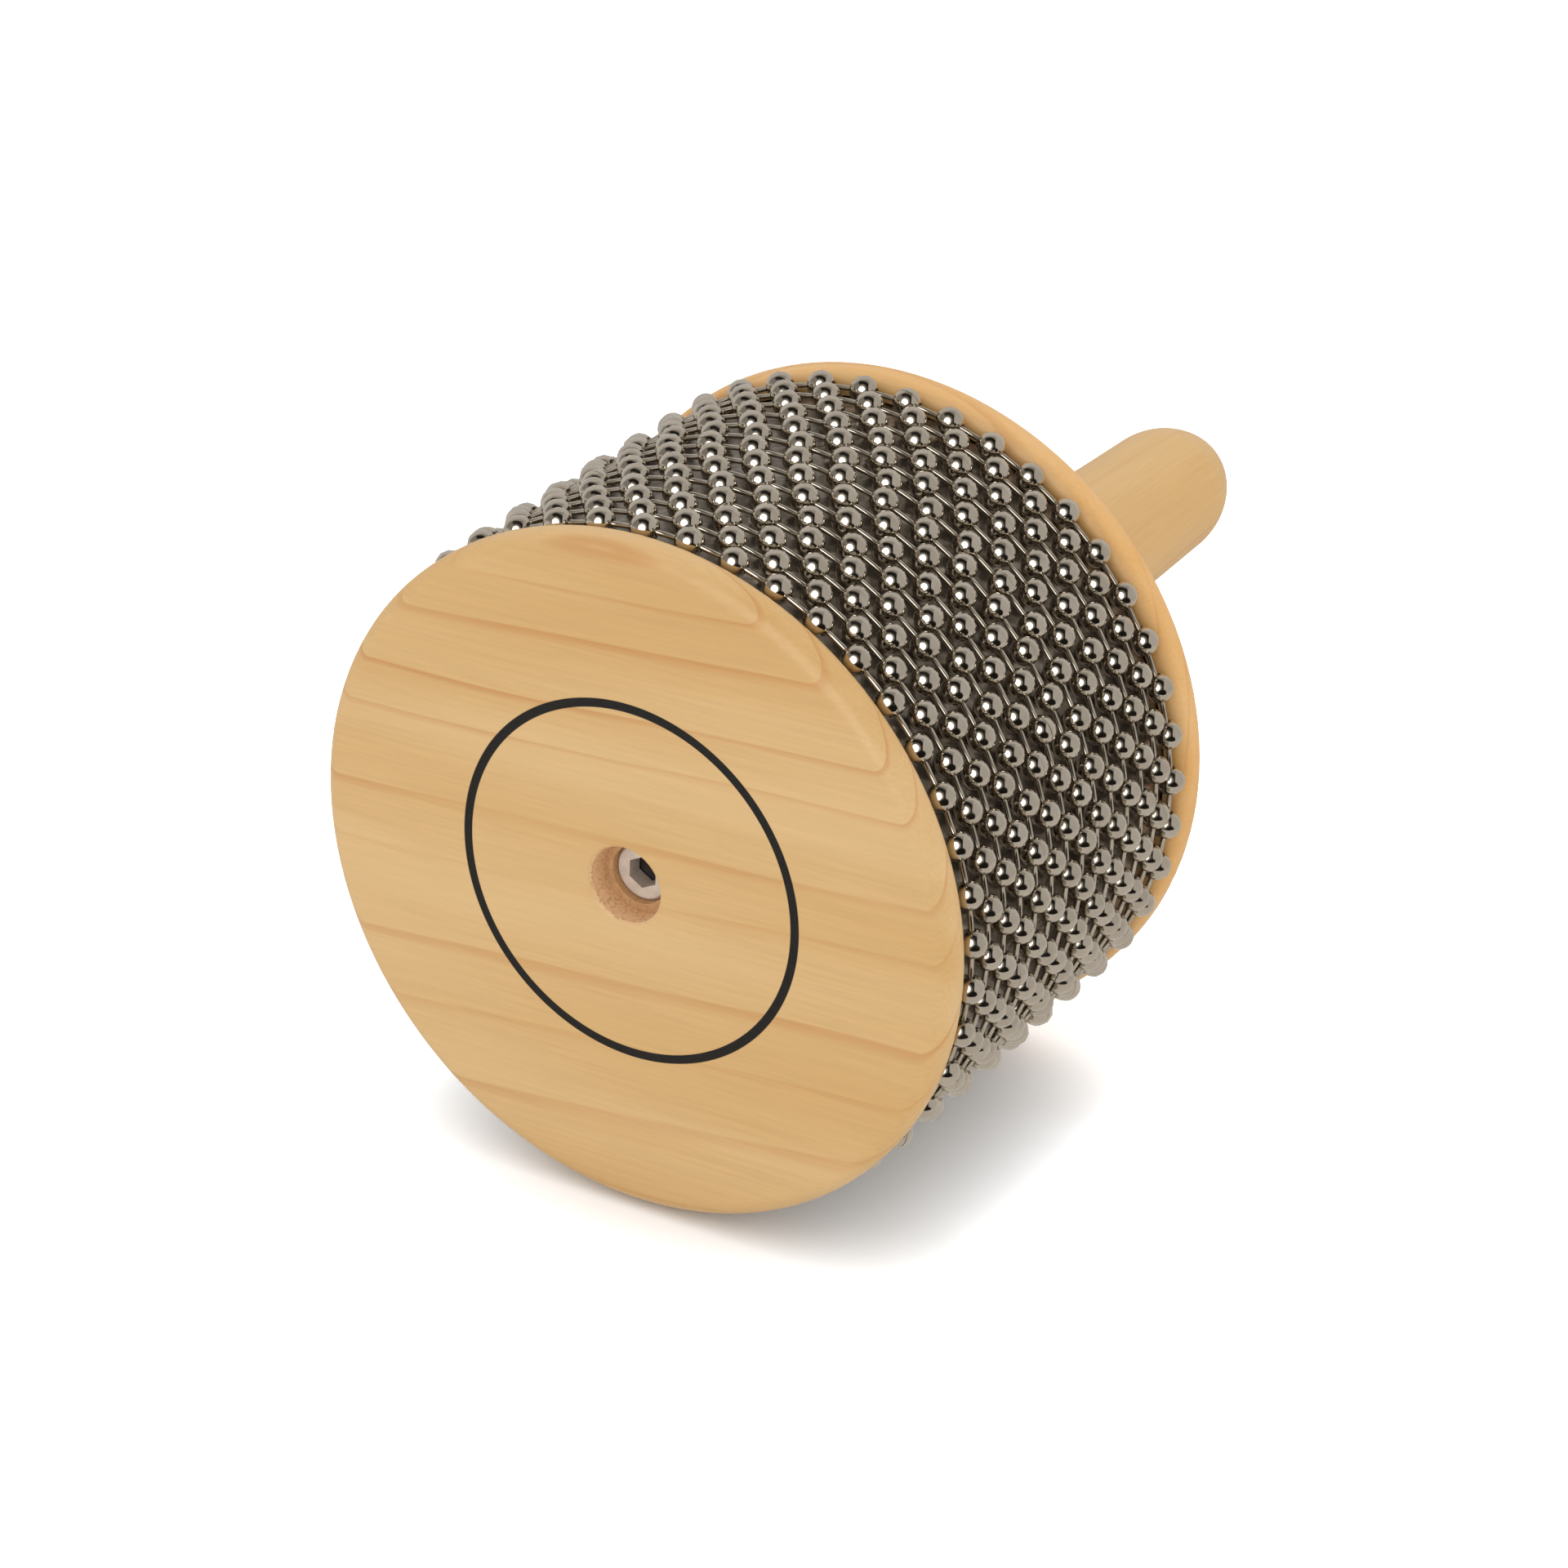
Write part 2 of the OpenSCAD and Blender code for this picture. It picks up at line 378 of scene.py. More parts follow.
@dataclass(frozen=True)
class LacqueredWood:
    """Pale close-grained hardwood, turned, sanded and sprayed with clear satin lacquer.

    It gives the eye a creamy ground, thin orange growth lines that fade on one side, and a
    soft sheen on rounded edges.

    Attributes:
        cut: How the piece lay in the tree.
        pith_mm: Where the tree's middle runs, across the fibres.
        ring_mm: A growth ring's mean width. drift_rings is how far a ring strays from its
            place, and drift_rate how soon.
        warp_mm: How far the rings wander along the board.
        line_share: How dark the strongest line is. line_luck holds the faintest and the
            strongest line's share of that.
        summer: Where in a ring, from 0 to 1, the slight darkening starts and ends, and so on
            for late, the steep one, and winter, which ends the line.
        warp_streak: Noise that bends the rings. fade_streak fades the lines, band_streak mixes
            the ground's two tones, and fibre_streak gives the fine fibres. The fields in
            _from hold the noise values where each one starts and ends.
    """

    name: str
    cut: Cut
    pith_mm: Pair
    ring_mm: float
    warp_mm: float = 5.0
    pale: str = "#CBA977"
    tan: str = "#C39C65"
    line: str = "#AE6C2C"
    line_share: float = 0.42
    line_luck: Pair = (0.3, 1.0)
    summer: Pair = (0.2, 0.96)
    summer_share: float = 0.2
    late: Pair = (0.82, 0.965)
    winter: Pair = (0.97, 0.995)
    drift_rings: float = 0.8
    drift_rate: float = 0.55
    warp_streak: Streak = Streak(130.0, 34.0, 1.5)
    fade_streak: Streak = Streak(70.0, 20.0, 1.0)
    fade_from: Pair = (0.32, 0.62)
    band_streak: Streak = Streak(170.0, 15.0, 2.0)
    band_from: Pair = (0.36, 0.66)
    fibre_streak: Streak = Streak(16.0, 0.55, 3.0)
    fibre_from: Pair = (0.3, 0.7)
    fibre_tone: Pair = (0.955, 1.03)
    fibre_bump: float = 0.12
    fibre_height_mm: float = 0.04
    roughness: float = 0.42
    specular: float = 0.25
    coat: float = 0.1
    coat_roughness: float = 0.22
    ior: float = 1.48

    def colour(self, tree: Tree, coords: Socket) -> tuple[Socket, Socket]:
        """Growth rings: distance from the tree's middle, warped, cut into rings of uneven width.

        Within a ring, share goes from 0 to 1: the wood darkens a little through the summer and
        steeply in the late wood, and the winter ends the line. Each ring's line has a strength
        of its own and fades here and there along the fibres.

        Args:
            tree: The material's node tree.
            coords: Object coordinates in metres.

        Returns:
            The colour's socket and the fibre streaks' socket.
        """
        board = add_node(tree, "ShaderNodeMapping", {
            "Vector": coords, "Scale": (PER_METRE,) * 3, "Rotation": self.cut.value,
            "Location": (0.0, -self.pith_mm[0], -self.pith_mm[1])}).outputs[0]

        def scaled(factors: Direction) -> Socket:
            """The board's coordinates times a factor each."""
            return add_node(
                tree, "ShaderNodeVectorMath", {0: board, 1: factors}, operation="MULTIPLY"
            ).outputs[0]

        def streaks(streak: Streak) -> Socket:
            """Noise stretched along the fibres, from 0 to 1."""
            spots = scaled((1 / streak.long_mm, 1 / streak.wide_mm, 1 / streak.wide_mm))
            return add_node(tree, "ShaderNodeTexNoise", {
                "Vector": spots, "Scale": 1.0, "Detail": streak.detail}).outputs["Fac"]

        radius = length(tree, scaled((0.0, 1.0, 1.0)))
        warped = calculate(tree, "MULTIPLY_ADD", streaks(self.warp_streak), self.warp_mm, radius)
        count = calculate(tree, "DIVIDE", warped, self.ring_mm)
        drift = add_node(tree, "ShaderNodeTexNoise", {
            "W": count, "Scale": self.drift_rate, "Detail": 0.0}, noise_dimensions="1D")
        uneven = calculate(
            tree, "MULTIPLY_ADD", drift.outputs["Fac"], self.drift_rings, count)
        share = calculate(tree, "FRACT", uneven)
        summer = remap(tree, share, self.summer, (0.0, self.summer_share), "SMOOTHERSTEP")
        late = remap(tree, share, self.late, curve="SMOOTHSTEP")
        winter = remap(tree, share, self.winter, (1.0, 0.0), "SMOOTHSTEP")
        edge = calculate(tree, "MULTIPLY", calculate(tree, "ADD", summer, late), winter)

        luck = add_node(tree, "ShaderNodeTexWhiteNoise", {
            "W": calculate(tree, "FLOOR", uneven)}, noise_dimensions="1D").outputs["Value"]
        strength = remap(tree, luck, (0.0, 1.0), self.line_luck)
        fade = remap(tree, streaks(self.fade_streak), self.fade_from, self.line_luck)
        dark = calculate(tree, "MULTIPLY", edge, calculate(tree, "MULTIPLY", strength, fade))
        amount = calculate(tree, "MULTIPLY", dark, self.line_share)

        ground = mix(
            tree, remap(tree, streaks(self.band_streak), self.band_from), self.pale, self.tan)
        lined = mix(tree, amount, ground, self.line)
        fibre = streaks(self.fibre_streak)
        tone = remap(tree, fibre, self.fibre_from, self.fibre_tone)
        grey = add_node(tree, "ShaderNodeCombineColor", {0: tone, 1: tone, 2: tone}).outputs[0]
        return mix(tree, 1.0, lined, grey, "MULTIPLY"), fibre

    def finish_off(self, tree: Tree, colour: Socket, fibre: Socket) -> None:
        """Lacquer over the wood: a clear coat, and fibres a few thousandths of a mm high.

        Args:
            tree: The material's node tree.
            colour: The surface's colour.
            fibre: The fibre streaks.
        """
        bump = add_node(tree, "ShaderNodeBump", {
            "Height": fibre, "Strength": self.fibre_bump, "Distance": self.fibre_height_mm * MM})
        end_material(tree, {
            "Base Color": colour, "Roughness": self.roughness, "Normal": bump.outputs[0],
            "Coat Weight": self.coat, "Coat Roughness": self.coat_roughness,
            "IOR": self.ior, "Specular IOR Level": self.specular})

    def build(self) -> bpy.types.Material:
        """Makes the plain lacquered material.

        Returns:
            The material.
        """
        material, tree, coords = start_material(self.name)
        self.finish_off(tree, *self.colour(tree, coords))
        return material


@dataclass(frozen=True)
class PrintedDiscWood(LacqueredWood):
    """The front disc's wood, with a screen-printed circle and the bare wood of its drilled hole.

    The circle is a sharp black line under the lacquer. The hole's wall has bare wood's colour,
    with chipped specks.

    Attributes:
        ring_centre_mm: The circle's place off the drum's axis.
        ring_soft_mm: Half the width of the print's soft edge.
        face_mm: How far behind the face a point still counts as part of it.
        wall_mm: How far outside the hole's radius its bare wood shows.
    """

    ring_outer_mm: float = 30.5
    ring_inner_mm: float = 29.0
    ring_centre_mm: Pair = (0.78, 0.72)
    ring_soft_mm: float = 0.06
    face_mm: float = 0.3
    hole_mm: float = 6.35
    wall_mm: float = 0.15
    ink: str = "#15120F"
    bare: str = "#DDB68A"
    speck: str = "#B3875C"
    speck_mm: float = 0.45
    speck_from: Pair = (0.5, 0.72)

    def build_on(self, face_y: float, axis_z: float) -> bpy.types.Material:
        """Makes the material for a disc whose face and axis are known.

        The circle covers the points whose distance from its own centre lies between its two
        radii, on the front face only. The bare wood covers the hole's wall.

        Args:
            face_y: The front face's place along Y, in metres.
            axis_z: The disc's axis above the floor, in metres.

        Returns:
            The material.
        """
        material, tree, coords = start_material(self.name)
        colour, fibre = self.colour(tree, coords)

        def from_axis(x_mm: float, z_mm: float) -> Socket:
            """Distance in millimetres from a line along Y, x_mm and z_mm off the axis."""
            flat = add_node(tree, "ShaderNodeMapping", {
                "Vector": coords, "Scale": (PER_METRE, 0.0, PER_METRE),
                "Location": (-x_mm, 0.0, -z_mm - axis_z * PER_METRE)})
            return length(tree, flat.outputs[0])

        def edge(radius_mm: float) -> Pair:
            """The print's soft edge."""
            return radius_mm - self.ring_soft_mm, radius_mm + self.ring_soft_mm

        out = from_axis(*self.ring_centre_mm)
        inside = remap(tree, out, edge(self.ring_inner_mm))
        outside = remap(tree, out, edge(self.ring_outer_mm), (1.0, 0.0))
        depth = add_node(tree, "ShaderNodeSeparateXYZ", {0: coords}).outputs["Y"]
        front = calculate(tree, "LESS_THAN", depth, face_y + self.face_mm * MM)
        printed = calculate(tree, "MULTIPLY", inside, outside)
        with_ink = mix(tree, calculate(tree, "MULTIPLY", printed, front), colour, self.ink)

        bore = calculate(tree, "LESS_THAN", from_axis(0.0, 0.0), self.hole_mm + self.wall_mm)
        chips = remap(tree, noise(tree, coords, self.speck_mm), self.speck_from)
        with_hole = mix(tree, bore, with_ink, mix(tree, chips, self.bare, self.speck))
        self.finish_off(tree, with_hole, fibre)
        return material


@dataclass(frozen=True)
class BareWood:
    """Drilled hardwood without lacquer: dull, with torn fibres.

    Attributes:
        torn_from: The noise values where a torn spot starts and is full.
        detail: How many finer layers lie over the spots.
        bump_mm: The spots' height at a bump of 1.
    """

    name: str
    ground: str = "#C79C6E"
    torn: str = "#B2875A"
    torn_from: Pair = (0.35, 0.7)
    fibre_mm: float = 0.5
    detail: float = 4.0
    bump: float = 0.5
    bump_mm: float = 0.1
    roughness: float = 0.85

    def build(self) -> bpy.types.Material:
        """Fibre ends as noise spots with the fibres' size, dark where the drill tore them.

        Returns:
            The material.
        """
        material, tree, coords = start_material(self.name)
        spots = noise(tree, coords, self.fibre_mm, self.detail)
        colour = mix(tree, remap(tree, spots, self.torn_from), self.ground, self.torn)
        bump = add_node(tree, "ShaderNodeBump", {
            "Height": spots, "Strength": self.bump, "Distance": self.bump_mm * MM})
        end_material(tree, {
            "Base Color": colour, "Roughness": self.roughness, "Normal": bump.outputs[0]})
        return material


@dataclass(frozen=True)
class Metal:
    """A metal with the smears and scratches that handling leaves, as an uneven roughness.

    The plating shows as sharp mirrored room tones, and a smear blurs them.

    Attributes:
        roughness: The clean metal's and the smear's.
        smear_from: The noise values where a smear starts and is full.
        painted_shade_from_mm: Where along Y the metal turns dark with painted shade, or None where
            there is none.
    """

    name: str
    ground: str
    smear: str
    roughness: Pair
    smear_mm: float
    smear_from: Pair = (0.35, 0.68)
    grit_mm: float = 0.3
    bump_mm: float = 0.0
    metallic: float = 1.0
    painted_shade_from_mm: float | None = None
    # The colour of the painted shade beyond painted_shade_from_mm.
    dark: str = "#2B2825"

    def build(self) -> bpy.types.Material:
        """Smears as soft noise spots that shift colour and roughness, with fine grit as bump.

        Returns:
            The material, darkened with painted shade beyond painted_shade_from_mm along Y where
            that is given.
        """
        material, tree, coords = start_material(self.name)
        share = remap(tree, noise(tree, coords, self.smear_mm), self.smear_from)
        colour = mix(tree, share, self.ground, self.smear)
        if self.painted_shade_from_mm is not None:
            # Painted shade: beyond painted_shade_from_mm along Y the colour turns to the dark
            # tone.
            along = add_node(tree, "ShaderNodeSeparateXYZ", {0: coords}).outputs["Y"]
            in_painted_shade = calculate(tree, "GREATER_THAN", along, self.painted_shade_from_mm * MM)
            colour = mix(tree, in_painted_shade, colour, self.dark)
        inputs: Links = {
            "Base Color": colour, "Metallic": self.metallic,
            "Roughness": remap(tree, share, (0.0, 1.0), self.roughness)}
        if self.bump_mm:
            grit = noise(tree, coords, self.grit_mm)
            inputs["Normal"] = add_node(tree, "ShaderNodeBump", {
                "Height": grit, "Strength": 1.0, "Distance": self.bump_mm * MM}).outputs[0]
        end_material(tree, inputs)
        return material


@dataclass(frozen=True)
class StudioTable:
    """A white floor that glows for the camera, darkened by a painted contact shadow where things
    stand on it.

    Attributes:
        tooth: The tone of its matt tooth, whose spots are tooth_mm wide.
        shadow_mm: How far the painted contact shadow reaches.
        fade_power: How steeply it fades.
    """

    name: str = "white_floor_painted_contact_shadow"
    ground: str = "#FCFCFC"
    tooth: str = "#F9F9F9"
    tooth_mm: float = 0.7
    camera_glow: float = 0.7
    shadow_mm: float = 25.0
    shadow_rays: int = 16
    fade_power: float = 3.0
    roughness: float = 0.9
    specular: float = 0.2

    def build(self) -> bpy.types.Material:
        """The sheet's matt tooth as faint noise.

        The glow, which only the camera sees, fades as a power of the open share of the space
        over a point, within shadow_mm: a painted contact shadow.

        Returns:
            The material.
        """
        material, tree, coords = start_material(self.name)
        colour = mix(tree, noise(tree, coords, self.tooth_mm), self.ground, self.tooth)
        # Painted contact shadow: the camera-only glow fades with the ambient occlusion.
        room = add_node(tree, "ShaderNodeAmbientOcclusion", {
            "Distance": self.shadow_mm * MM}, samples=self.shadow_rays).outputs["AO"]
        share = calculate(tree, "POWER", room, self.fade_power)
        direct = add_node(tree, "ShaderNodeLightPath").outputs["Is Camera Ray"]
        lit = calculate(tree, "MULTIPLY", direct, self.camera_glow)
        end_material(tree, {
            "Base Color": colour, "Roughness": self.roughness, "Specular IOR Level": self.specular,
            "Emission Color": linear(self.ground),
            "Emission Strength": calculate(tree, "MULTIPLY", share, lit)})
        return material


@dataclass
class Studio:
    """The floor, the room, the softbox and the camera at the photograph's angle.

    Attributes:
        azimuth_deg: The camera's turn to the right of the front disc's axis.
        from_face_mm: The camera's place from the middle of the front disc's face.
        softbox_way: Which way the softbox lies, softbox_far_m off and softbox_m across.
        dome: The brightness of the even dome that lights matt surfaces.
        sheet_mm: The mirrored sheet's middle, x and y, and its radius.
        table_way: Which way the table's near corner lies in the mirrored room.
        photographer_way: Which way the photographer stands.
    """

    azimuth_deg: float = 31.83
    elevation_deg: float = 27.258
    from_face_mm: Direction = (364.2, -540.55, 353.06)
    lens_mm: float = 111.562
    sensor_mm: float = 36.0
    near_m: float = 0.01
    softbox_way: Direction = (0.1356, -0.867, 0.484)
    softbox_far_m: float = 0.9
    softbox_m: float = 0.86
    softbox_watts: float = 5.0
    softbox_aims_y: float = -0.05
    dome: float = 1.3
    floor_mm: float = 20000.0
    floor_sides: int = 64
    sheet_mm: Direction = (-100.0, 60.0, 300.0)
    sheet_below_mm: float = 0.1
    table_way: Direction = (-0.6, -0.6, -0.53)
    photographer_way: Direction = (0.746, -0.569, -0.347)

    def build(self, face_centre: Vector) -> None:
        """Builds the whole studio.

        Args:
            face_centre: The middle of the front disc's face.
        """
        self.floor()
        self.room()
        self.softbox(Vector((0.0, self.softbox_aims_y, face_centre.z)))
        self.camera(face_centre)
        LOG.info("studio built")

    def view_axes(self) -> Matrix:
        """The camera's turn: forward is (-sin a cos e, cos a cos e, -sin e), with no roll.

        Returns:
            The camera's right, up and backward axes as columns.
        """
        a, e = math.radians(self.azimuth_deg), math.radians(self.elevation_deg)
        right = Vector((math.cos(a), math.sin(a), 0.0))
        forward = Vector((-math.sin(a) * math.cos(e), math.cos(a) * math.cos(e), -math.sin(e)))
        return Matrix((right, right.cross(forward), -forward)).transposed()

    def floor(self) -> None:
        """A round table top, so wide that its edge is never near, for the camera and the light.

        Metal mirrors a small sheet in its place, as the photograph's beads do: only those near
        the table show white all round.
        """
        turn = np.linspace(0.0, FULL_TURN, self.floor_sides + 1)[:-1]
        rim = np.stack([np.cos(turn), np.sin(turn), np.zeros(self.floor_sides)], axis=1)
        face = [np.arange(self.floor_sides)[None, :]]
        x, y, reach = self.sheet_mm
        floor = make_piece("floor", rim * self.floor_mm, face)
        sheet = make_piece("mirrored_sheet", rim * reach + (x, y, -self.sheet_below_mm), face)
        paper = StudioTable("grey_white_paper", "#BDB8B1", "#B9B4AD")
        for piece, made_of in ((floor, StudioTable()), (sheet, paper)):
            dress(piece, made_of.build())
        floor.visible_glossy = False
        sheet.visible_camera = sheet.visible_diffuse = sheet.visible_shadow = False

    def patches(self) -> tuple[Patch, ...]:
        """The mirrored room by direction, each patch over those before it.

        Returns:
            A dark surround with a glow round the softbox, a grey wall on either side, a pale
            backdrop beyond the object, the white table below and to the left, and the
            photographer's dark shape low on the right.
        """
        a = math.radians(self.azimuth_deg)
        right = (math.cos(a), math.sin(a), 0.0)
        left = (-right[0], -right[1], 0.0)
        beyond = (-right[1], right[0], 0.0)
        return (
            Patch(self.softbox_way, (0.20, 0.45), Room.DARK),
            Patch(self.softbox_way, (0.70, 0.93), Room.GLOW),
            Patch(left, (0.50, 0.68), Room.LEFT_WALL),
            Patch(right, (0.50, 0.58), Room.RIGHT_WALL),
            Patch(beyond, (0.30, 0.60), Room.BACKDROP),
            Patch((0.0, 0.0, -1.0), (0.20, 0.80), Room.TABLE),
            Patch(self.table_way, (0.60, 0.85), Room.TABLE),
            Patch(self.photographer_way, (0.80, 0.88), Room.DARK))

    def room(self) -> None:
        """An even white dome for matt surfaces, and in its place what polished ones mirror."""
        world = bpy.data.worlds.new("studio_room")
        bpy.context.scene.world = world
        world.use_nodes = True
        tree = world.node_tree
        tree.nodes.clear()
        way = add_node(tree, "ShaderNodeTexCoord").outputs["Generated"]
        shade = Room.FAR.value
        for patch in self.patches():
            facing = add_node(
                tree, "ShaderNodeVectorMath", {0: way, 1: patch.way}, operation="DOT_PRODUCT"
            ).outputs["Value"]
            share = remap(tree, facing, patch.fade, curve="SMOOTHSTEP")
            shade = mix(tree, share, shade, patch.tone.value)
        mirrored = add_node(tree, "ShaderNodeLightPath").outputs["Is Glossy Ray"]
        light = add_node(tree, "ShaderNodeBackground", {
            "Color": mix(tree, mirrored, Room.WHITE.value, shade),
            "Strength": remap(tree, mirrored, (0.0, 1.0), (self.dome, 1.0))})
        add_node(tree, "ShaderNodeOutputWorld", {"Surface": light.outputs[0]})

    def softbox(self, middle: Vector) -> None:
        """Adds the round softbox that every bead mirrors. Matt surfaces have the dome's light.

        Args:
            middle: The point that it faces.
        """
        data = bpy.data.lights.new("softbox", "AREA")
        data.shape = "DISK"
        data.size = self.softbox_m
        data.energy = self.softbox_watts
        obj = bpy.data.objects.new("softbox", data)
        obj.location = middle + Vector(self.softbox_way) * self.softbox_far_m
        obj.rotation_euler = (middle - obj.location).to_track_quat("-Z", "Y").to_euler()
        obj.visible_diffuse = False
        bpy.context.scene.collection.objects.link(obj)

    def camera(self, face_centre: Vector) -> None:
        """Places the camera as fitted to the printed circle and the discs' outlines.

        Args:
            face_centre: The middle of the front disc's face.
        """
        data = bpy.data.cameras.new("camera")
        data.lens, data.sensor_width, data.clip_start = self.lens_mm, self.sensor_mm, self.near_m
        obj = bpy.data.objects.new("camera", data)
        bpy.context.scene.collection.objects.link(obj)
        place = face_centre + Vector(self.from_face_mm) * MM
        obj.matrix_world = Matrix.Translation(place) @ self.view_axes().to_4x4()
        bpy.context.scene.camera = obj


@dataclass
class BeadChain:
    """The loops of bead chain round the drum, each a ring of hollow beads joined by rods.

    Attributes, with lengths in millimetres:
        loop_r: The radius of the line through a loop's beads.
        rest_shares: How far each loop is turned at rest, as shares of the step between beads.
        seam_step_share: How far a seam is turned against the last bead's, as a share of a turn.
        closed_seam: The width of a seam. One that stands open, as open_share of them do, is
            open_seam wide.
        dimple: How deep a pole sinks into its hole.
        around: How many faces a bead has round the chain. along is how many from pole to pole.
        head_in: How far a link's head lies from the bead's centre.
    """

    bead_r: float = 2.38
    hole_r: float = 0.75
    loop_r: float = 55.62
    beads: int = 44
    rest_shares: tuple[float, ...] = (
        0.78, 0.33, 0.84, 0.33, 0.95, 0.43, 0.96, 0.52, 0.22, 0.72, 0.29, 0.77, 0.31, 0.82)
    seed: int = 5
    seam_step_share: float = 0.382
    closed_seam: float = 0.03
    open_seam: float = 0.15
    open_share: float = 0.2
    seam_depth: float = 0.35
    dimple: float = 0.8
    around: int = 14
    along: int = 6
    rod_r: float = 0.45
    head_r: float = 0.9
    head_in: float = 1.028
    rod_sides: int = 8

    def build(self, nickel: bpy.types.Material, wire: bpy.types.Material) -> None:
        """Builds the beads and the links of every loop that the record declares.

        Args:
            nickel: The beads' material.
            wire: The links' material.
        """
        luck = np.random.default_rng(self.seed)
        for number, joint in enumerate(frame["joints"], 1):
            body = joint["child"]
            centre = np.array([v * PER_METRE for v in joint["pos_m"]])
            turns = (self.rest_shares[number - 1] * FULL_TURN / self.beads
                     + np.arange(self.beads) * FULL_TURN / self.beads)
            gapes = luck.random(self.beads) < self.open_share
            beads = self.bead_loop(number, turns, gapes, centre)
            dress(beads, nickel)
            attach(beads, body)
            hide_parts(f"bead_row_{number:02d}")
            links = self.link_loop(number, turns, centre)
            dress(links, wire)
            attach(links, body)
            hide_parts(f"link_row_{number:02d}")
            LOG.info("loop %02d: %d beads, %d faces", number, self.beads, len(beads.data.polygons))

    @staticmethod
    def on_loop(
        turns: np.ndarray, radius: float, centre: np.ndarray
    ) -> tuple[np.ndarray, np.ndarray, np.ndarray]:
        """Places on a loop: the centre plus the radius times (cos t, 0, -sin t).

        Args:
            turns: Angles from +X, clockwise seen from the front.
            radius: The places' distance from the drum's axis.
            centre: A point on the axis.

        Returns:
            The places, the directions away from the axis and the directions along the loop.
        """
        zero = np.zeros_like(turns)
        away = np.stack([np.cos(turns), zero, -np.sin(turns)], axis=1)
        ahead = np.stack([np.sin(turns), zero, np.cos(turns)], axis=1)
        return centre + radius * away, away, ahead

    def bead_grid(
        self, number: int, gapes: np.ndarray, away: np.ndarray, ahead: np.ndarray
    ) -> np.ndarray:
        """Directions from a bead's centre to the points of its grid.

        In axes where the third is the chain's direction, a point lies along (sin p cos q,
        sin p sin q, cos p). p goes from pole to pole, and q round the chain from one edge of
        the seam to the other, with a last column in the seam's middle.

        Args:
            number: The loop's number, from 1.
            gapes: Which beads have a seam that stands open.
            away: For each bead, the direction away from the drum's axis.
            ahead: For each bead, the chain's direction.

        Returns:
            Unit vectors, beads by rows by columns.
        """
        seam = FULL_TURN * self.seam_step_share * (np.arange(self.beads) + number)
        cos, sin = np.cos(seam)[:, None], np.sin(seam)[:, None]
        basis = np.stack([cos * away + sin * AXIS, -sin * away + cos * AXIS, ahead], axis=1)
        hole = math.asin(self.hole_r / self.bead_r)
        p = np.linspace(hole, math.pi - hole, self.along + 1)[None, :, None]
        half = np.where(gapes, self.open_seam, self.closed_seam)[:, None] / self.bead_r / 2
        shares = np.linspace(0.0, 1.0, self.around + 1)
        q = np.append(half + (FULL_TURN - 2 * half) * shares, np.zeros((self.beads, 1)), axis=1)
        q = q[:, None, :]
        x, y = np.sin(p) * np.cos(q), np.sin(p) * np.sin(q)
        local = np.stack([x, y, np.broadcast_to(np.cos(p), x.shape)], axis=-1)
        return np.einsum("brcl,blk->brck", local, basis)

    def bead_loop(
        self, number: int, turns: np.ndarray, gapes: np.ndarray, centre: np.ndarray
    ) -> bpy.types.Object:
        """Makes one loop's beads as a grid over each sphere.

        The seam's column lies deeper than the others, and each pole sinks into the hole that
        the rod enters. The sphere is shaded smooth, and the seam and the holes flat.

        Args:
            number: The loop's number, from 1.
            turns: The beads' angles round the drum.
            gapes: Which beads have a seam that stands open.
            centre: The loop's centre.

        Returns:
            The piece.
        """
        places, away, ahead = self.on_loop(turns, self.loop_r, centre)
        unit = self.bead_grid(number, gapes, away, ahead)
        rows, cols = unit.shape[1:3]
        reach = np.full(cols, self.bead_r)
        reach[-1] -= self.seam_depth
        grid = places[:, None, None, :] + unit * reach[None, None, :, None]
        hole = math.asin(self.hole_r / self.bead_r)
        pole = ahead * (self.bead_r * math.cos(hole) - self.dimple)
        caps = np.stack([places + pole, places - pole], axis=1)
        points = np.concatenate([grid.reshape(self.beads, -1, 3), caps], axis=1)

        quads, tris = capped_tube(rows, cols)
        smooth = np.append(unit.reshape(self.beads, -1, 3), np.zeros_like(caps), axis=1)[:, quads]
        flat = face_normals(points[:, quads].reshape(-1, 4, 3)).reshape(smooth.shape)
        on_sphere = np.tile(np.arange(cols) < self.around, rows - 1)
        normals = np.concatenate([
            np.where(on_sphere[None, :, None, None], smooth, flat).reshape(-1, 3),
            face_normals(points[:, tris].reshape(-1, 3, 3)).reshape(-1, 3)])
        return make_copies(f"bead_loop_{number:02d}", points, quads, tris, normals)

    def link_loop(
        self, number: int, turns: np.ndarray, centre: np.ndarray
    ) -> bpy.types.Object:
        """Makes one loop's links, each a profile turned about its rod: head, rod, head.

        A head is a circle's arc of radius head_r about a point head_in from a bead's centre.

        Args:
            number: The loop's number, from 1.
            turns: The beads' angles round the drum.
            centre: The loop's centre.

        Returns:
            The piece.
        """
        half_step = math.pi / self.beads
        places, away, ahead = self.on_loop(
            turns + half_step, self.loop_r * math.cos(half_step), centre)
        middle = self.loop_r * math.sin(half_step) - self.head_in
        neck = math.pi - math.asin(self.rod_r / self.head_r)
        arc = np.array([math.pi / 4, math.pi / 2, neck])
        along, out = middle + self.head_r * np.cos(arc), self.head_r * np.sin(arc)
        along, out = np.concatenate([along, -along[::-1]]), np.concatenate([out, out[::-1]])
        turn = (np.arange(self.rod_sides) * FULL_TURN / self.rod_sides)[None, :, None]
        spoke = np.cos(turn) * away[:, None, :] + np.sin(turn) * AXIS
        grid = (places[:, None, None, :] + along[None, :, None, None] * ahead[:, None, None, :]
                + out[None, :, None, None] * spoke[:, None, :, :])
        tip = ahead * (middle + self.head_r)
        caps = np.stack([places + tip, places - tip], axis=1)
        points = np.concatenate([grid.reshape(self.beads, -1, 3), caps], axis=1)
        name = f"chain_links_{number:02d}"
        return make_copies(name, points, *capped_tube(len(along), self.rod_sides))


